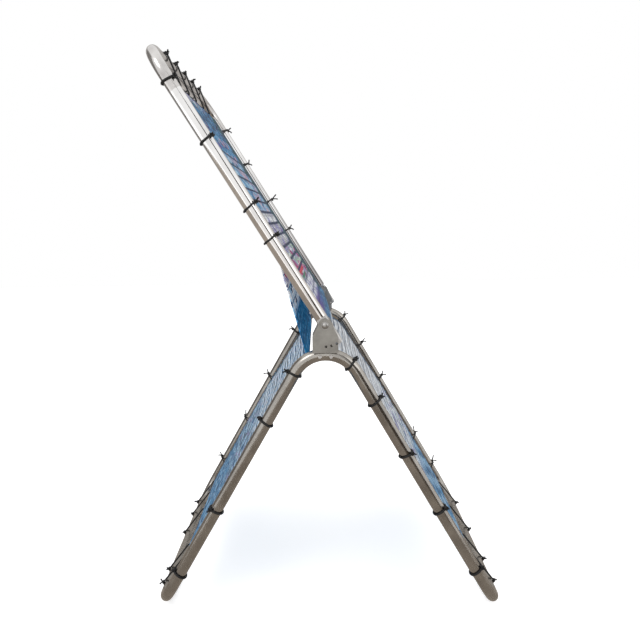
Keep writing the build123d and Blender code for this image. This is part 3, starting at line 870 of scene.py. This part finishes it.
# The arm tubes darken toward the pivot: painted reflection of cloth and floor on the front tube, painted
# shade on the back one.
FRONT_PAINTED_SHADE = (0.62, 0.95, (0.78, 0.74, 0.71))
BACK_PAINTED_SHADE = (0.70, 1.0, (0.30, 0.29, 0.29))
arm_turn = (0, math.atan2(-ARM_UP[0], ARM_UP[2]), 0)
metals = {
    "arm_side_tube": steel("arm_tube_steel", *ARM_BRIGHT, ARM_GLOSS, arm_turn, FRONT_PAINTED_SHADE),
    "arm_side_tube_back": steel("arm_back_tube_steel", *ARM_BRIGHT, ARM_GLOSS, arm_turn, BACK_PAINTED_SHADE),
    "arm_top_bow": steel("arm_bow_steel", *BOW_STEEL_PAINTED_DIM, (0.14, 0.26)),
    "base_side_tube": steel("base_tube_steel", *BASE_STEEL_PAINTED_DIM, (0.16, 0.3)),
    "foot_bow": steel("foot_bow_steel", *BASE_STEEL_PAINTED_DIM, (0.2, 0.34)),
    "sleeve": steel("sleeve_steel", (0.4, 0.4, 0.4), (0.6, 0.6, 0.6), (0.3, 0.45)),
    "hub_plate": brushed_plate("hub_plate_steel"),
    "arm_end_fitting": steel("fitting_alloy", (0.45, 0.44, 0.43), (0.62, 0.61, 0.6), (0.25, 0.4)),
    "pivot_bush": nylon("bush_nylon"),
    "pivot": steel("zinc_fastener", (0.36, 0.35, 0.34), (0.54, 0.53, 0.51), (0.3, 0.45)),
    "hub_rivets": steel("rivet_steel", (0.5, 0.49, 0.48), (0.7, 0.69, 0.68), (0.2, 0.35)),
}


def finish_metals():
    """Each CAD node gets the metal with the longest name that its own name starts with."""
    for node, shape in frame["nodes"].items():
        keys = [k for k in metals if node.startswith(k) or (k == "sleeve" and "sleeve" in node)]
        if keys:
            shape.data.materials.clear()
            shape.data.materials.append(metals[max(keys, key=len)])


finish_metals()
rows = {"front": -1, "back": 1}
LEGS = (("left", -1, left_leg, left_tone), ("right", 1, right_leg, right_tone))

# Places of the ties: up the arm from its pivot, and across the loom on the bows
arm_ties = {r: tie_places(f"arm_ties_{r}", ARM_UP, PIVOT) for r in rows}
top_ties = tie_places("arm_ties_top", ACROSS, PIVOT)
foot_ties = {name: tie_places(f"foot_ties_{name}", ACROSS, leg_origin(side)) for name, side, *_ in LEGS}
BOW_DIP = 0.05  # an end's dip between two ties, over their distance
FLAP_DIP = 0.03  # how far the flap's edges curve in, over its length
arm_dips = (
    scallop([ARM_PANEL[1] - p for p in arm_ties["front"]], 0, arm_path.length),
    scallop([ARM_PANEL[1] - p for p in arm_ties["back"]], 0, arm_path.length),
    scallop(top_ties, -EDGE_Y, EDGE_Y, BOW_DIP),
    no_dip,
)
flap_side = scallop([], 0, flap_path.length, FLAP_DIP)
flap_dips = (flap_side, flap_side, no_dip, no_dip)
plain_dips = (no_dip, no_dip, no_dip, no_dip)


def leg_dips(name, side, path):
    """How a leg's cloth is drawn in at its front, back, top and foot."""
    sides = []
    for row in rows:
        places = tie_places(f"leg_ties_{name}_{row}", leg_down(side), leg_origin(side))
        sides.append(scallop([p + path.bend for p in places], 0, path.length))
    return (*sides, no_dip, scallop(foot_ties[name], -EDGE_Y, EDGE_Y, BOW_DIP))


def cloth_piece(name, path, tone, dips, seed, node, material=yarn):
    piece = weave(name, path, tone, dips, material, seed)
    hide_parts(node)
    return piece


piece = cloth_piece("arm_cloth", arm_path, arm_tone, arm_dips, 5, "arm_panel")
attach(piece, "arm")

piece = cloth_piece(
    "hub_flap_cloth", flap_path, flap_tone, flap_dips, 6, "hub_flap", glowing_flap_yarn
)
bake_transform(piece)

piece = cloth_piece("hub_cloth", hub_path, hub_tone, plain_dips, 9, "hub_panel")
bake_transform(piece)

for name, side, path, tone in LEGS:
    piece = cloth_piece(
        f"leg_cloth_{name}", path, tone, leg_dips(name, side, path), 7 + side,
        f"leg_panel_{name}",
    )
    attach(piece, "base")


# ---------------------------------------------------------------- the edge cords
def arm_cords():
    """The arm's selvedges, twisted from two blues, and the dark one along its top."""
    cords = Mesh()
    side_path = Straight(arm_top, PIVOT + ARM_UP * ARM_CORD_START)
    for side in (-1, 1):
        add_cord(cords, edge_line(side_path, arm_dips, side), EDGE_R, NAVY, second=BLUE)
    add_cord(cords, end_line(arm_path, arm_dips[2], False), EDGE_R * 1.1, BLACK, second=INK)
    cords.finish("arm_selvedge_cords", cord_fibre, "arm", ["arm_edge_cords"])


def leg_cords(name, side, path):
    """A leg's selvedges, with a pale cord at the shoulder and a dark one at the foot."""
    cords = Mesh()
    dips = leg_dips(name, side, path)
    for edge in (-1, 1):
        add_cord(cords, edge_line(path, dips, edge), EDGE_R, NAVY, second=SKY)
    add_cord(cords, end_line(path, no_dip, False), EDGE_R, SILVER, second=SLATE)
    add_cord(cords, end_line(path, dips[3], True), EDGE_R, BLACK, second=DEEP)
    cords.finish(
        f"leg_selvedge_cords_{name}", cord_fibre, "base", [f"leg_edge_cords_{name}"]
    )


arm_cords()
for name, side, path, _ in LEGS:
    leg_cords(name, side, path)


# ---------------------------------------------------------------- the cord ties
def knot_angle(tangent, inward, outward, rng):
    """The knot's angle round the tube: on the outer face of the frame, a little uneven."""
    turn = math.copysign(KNOT_TURN, np.cross(tangent, inward).dot(outward))
    return turn + rng.uniform(-0.35, 0.35)


def tail_length(row, rng):
    return rng.uniform(*(FRONT_TAILS if row == "front" else BACK_TAILS)) * MM


def arm_side_ties(row, y_side, rng):
    ties = Mesh()
    for place in arm_ties[row]:
        centre = PIVOT + ARM_UP * place + ACROSS * y_side * HALF
        inward = -y_side * ACROSS
        turn = knot_angle(ARM_UP, inward, ARM_NORMAL, rng)
        add_tie(ties, centre, ARM_UP, inward, EDGE_INSET, turn, rng, tail_length(row, rng))
    ties.finish(f"arm_cord_ties_{row}", black_cord, "arm", [f"arm_ties_{row}"])


def leg_side_ties(name, side, row, y_side, rng):
    """Each reaches across and, near the arch, inward to the edge cord."""
    ties = Mesh()
    node = f"leg_ties_{name}_{row}"
    for place in tie_places(node, leg_down(side), leg_origin(side)):
        centre, out, tangent = leg_axis(side, place)
        centre = centre + ACROSS * y_side * HALF
        span = ACROSS * -y_side * EDGE_INSET - out * leg_drop(place)
        reach = float(np.linalg.norm(span))
        turn = knot_angle(tangent, span / reach, out, rng)
        add_tie(ties, centre, tangent, span / reach, reach, turn, rng, tail_length(row, rng))
    ties.finish(f"leg_cord_ties_{name}_{row}", black_cord, "base", [node])


def bow_lacing(piece, body, node, places, corner, edge, outward, turn, skew, rng):
    """The ties along a bow's cross tube; corner and edge are its axis and the cloth's edge."""
    ties = Mesh()
    inward = edge - corner
    facing = math.copysign(turn, np.cross(ACROSS, inward).dot(outward))
    for y in places:
        target = edge + ACROSS * (y + rng.uniform(-skew, skew) * MM)
        tail = rng.uniform(*LACE_TAILS) * MM
        add_lacing(ties, corner + ACROSS * y, ACROSS, target, rng, facing, tail)
    ties.finish(piece, black_cord, body, [node])


for row, y_side in rows.items():
    rng = random.Random(40 + y_side)
    arm_side_ties(row, y_side, rng)
    for name, side, *_ in LEGS:
        leg_side_ties(name, side, row, y_side, rng)

rng = random.Random(77)
top_corner = box_corner("arm_top_bow", -1)
bow_lacing(
    "arm_top_lacing", "arm", "arm_ties_top", top_ties, top_corner, arm_top,
    ARM_NORMAL, TOP_KNOT_TURN, TOP_SKEW, rng,
)
for name, side, path, _ in LEGS:
    bow_lacing(
        f"foot_lacing_{name}", "base", f"foot_ties_{name}", foot_ties[name],
        box_corner(f"foot_bow_{name}", side), path.at(path.length)[0],
        leg_normal(side), FOOT_KNOT_TURN, FOOT_SKEW, rng,
    )


# ---------------------------------------------------------------- stage, light and camera
def stage_plane(name, corners, material):
    mesh = bpy.data.meshes.new(name)
    mesh.from_pydata([tuple(c) for c in corners], [], [(0, 1, 2, 3)])
    mesh.materials.append(material)
    plane = bpy.data.objects.new(name, mesh)
    bpy.context.scene.collection.objects.link(plane)
    return plane


def glow(name, colour):
    material, tree, _ = new_material(name)
    emission = add(tree, "ShaderNodeEmission", Color=(*colour, 1), Strength=1.0)
    tree.links.new(emission.outputs[0], tree.nodes["Material Output"].inputs["Surface"])
    return material


def reflector(name, corners, colour):
    """A card that only shows in the metal: a studio flag, a wall of the room or its floor."""
    card = stage_plane(name, corners, glow(name, colour))
    card.visible_camera = False
    card.visible_diffuse = False
    card.visible_shadow = False
    card.visible_transmission = False
    return card


def floor_material():
    """Pale and matt, with a little emission so that shadows on it stay faint."""
    material, tree, shader = new_material("pale_floor")
    tone = noise(tree, object_coordinates(tree, (1, 1, 1)), 3, 2)
    tree.links.new(
        ramp(tree, tone, [(0.3, grey(0.93)), (0.7, grey(0.96))]), shader.inputs["Base Color"]
    )
    shader.inputs["Emission Color"].default_value = (1, 1, 1, 1)
    shader.inputs["Emission Strength"].default_value = FLOOR_GLOW
    shader.inputs["Roughness"].default_value = 0.9
    shader.inputs["Specular IOR Level"].default_value = 0.1
    return material


def square(half, height):
    """The corners of a level square about the origin."""
    return [(-half, -half, height), (half, -half, height), (half, half, height), (-half, half, height)]


def upright(name, x0, y0, x1, y1, low, high, colour):
    """An upright card standing on the line from (x0, y0) to (x1, y1)."""
    reflector(name, [(x0, y0, low), (x1, y1, low), (x1, y1, high), (x0, y0, high)], colour)


FLOOR_GLOW = 0.5
FLOOR_HALF = 6.0
CARD_HALF = 3.0
CARD_HEIGHT = 0.8 * MM
stage_plane("floor", square(FLOOR_HALF, 0), floor_material())
reflector("floor_tone", square(CARD_HALF, CARD_HEIGHT), (0.39, 0.345, 0.30))
upright("room_behind", -3.5, 2.6, 3.5, 2.6, 0, 3.2, (0.55, 0.53, 0.51))
upright("room_left", -2.8, 2.6, -2.8, -0.5, 0, 3.2, (0.24, 0.23, 0.22))
upright("tall_flag", 1.25, -2.65, 1.95, -2.2, 0.2, 3.4, (0.04, 0.035, 0.03))
upright("low_flag", 0.6, -1.9, 2.0, -1.1, 0, 1.0, (0.06, 0.045, 0.03))

world = bpy.data.worlds.new("studio")
bpy.context.scene.world = world
world.use_nodes = True
world.node_tree.nodes["Background"].inputs["Color"].default_value = (1, 1, 1, 1)
world.node_tree.nodes["Background"].inputs["Strength"].default_value = 1.0


def soft_light(name, place, aim, size, power):
    """A disc light of a given diameter and power, turned to a point."""
    lamp = bpy.data.lights.new(name, "AREA")
    lamp.shape = "DISK"
    lamp.size = size
    lamp.energy = power
    holder = bpy.data.objects.new(name, lamp)
    holder.location = place
    direction = Vector(aim) - Vector(place)
    holder.rotation_euler = direction.to_track_quat("-Z", "Y").to_euler()
    bpy.context.scene.collection.objects.link(holder)


CENTRE = (-0.05, 0.0, 0.6)
soft_light("key", (-1.6, -1.8, 2.6), CENTRE, 1.2, 14)
soft_light("fill", (2.2, -1.2, 1.8), CENTRE, 1.6, 5)

# Camera: level with the upper part of the frame, looking along its width
CAMERA_PLACE = Vector((-0.0103, -1.3342, 0.8427))
CAMERA_YAW, CAMERA_PITCH, CAMERA_ROLL = (math.radians(a) for a in (-1.68, 11.22, -1.09))
LENS = 0.87125  # focal length over the sensor's width
SENSOR = 36
SHIFT_X, SHIFT_Y = 0.0253, 0.0152
forward = Vector(
    (
        math.sin(CAMERA_YAW) * math.cos(CAMERA_PITCH),
        math.cos(CAMERA_YAW) * math.cos(CAMERA_PITCH),
        -math.sin(CAMERA_PITCH),
    )
)
right = Vector((math.cos(CAMERA_YAW), -math.sin(CAMERA_YAW), 0))
above = right.cross(forward)
rolled_right = right * math.cos(CAMERA_ROLL) + above * math.sin(CAMERA_ROLL)
rolled_up = above * math.cos(CAMERA_ROLL) - right * math.sin(CAMERA_ROLL)
lens = bpy.data.cameras.new("camera")
lens.sensor_width = SENSOR
lens.lens = SENSOR * LENS
lens.shift_x, lens.shift_y = SHIFT_X, SHIFT_Y
camera = bpy.data.objects.new("camera", lens)
camera.matrix_world = Matrix(
    (
        (rolled_right.x, rolled_up.x, -forward.x, CAMERA_PLACE.x),
        (rolled_right.y, rolled_up.y, -forward.y, CAMERA_PLACE.y),
        (rolled_right.z, rolled_up.z, -forward.z, CAMERA_PLACE.z),
        (0, 0, 0, 1),
    )
)
bpy.context.scene.collection.objects.link(camera)
bpy.context.scene.camera = camera
bpy.context.scene.view_settings.view_transform = "Standard"
